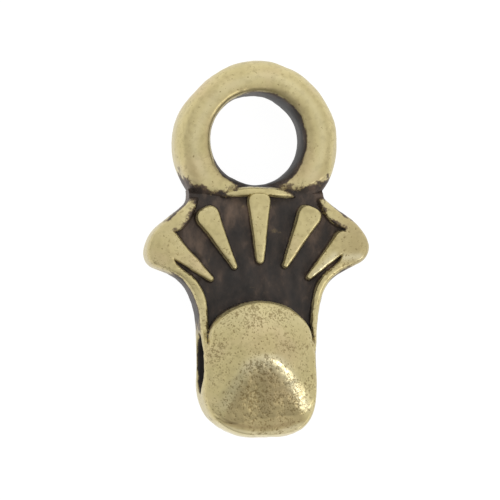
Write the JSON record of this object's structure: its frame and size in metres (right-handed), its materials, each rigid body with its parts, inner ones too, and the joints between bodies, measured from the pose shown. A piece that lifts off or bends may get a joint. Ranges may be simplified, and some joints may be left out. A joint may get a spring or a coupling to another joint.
{
  "type": "bead end cap",
  "caption": "Cast metal end cap with a hanging loop, a shell fan of rays and a faceted block with a side-to-side hole.",
  "frame": {"origin": "on the flat back face, under the middle of the outline", "axes": "+Z out of the decorated front, +Y from the block to the loop, +X across to the right seen from the front"},
  "size_m": [0.009, 0.015, 0.0044],
  "materials": {
    "antique_brass": "antiqued, polished high points over dark patina"
  },
  "bodies": {
    "root": {"end_cap": "antique_brass"}
  },
  "joints": []
}
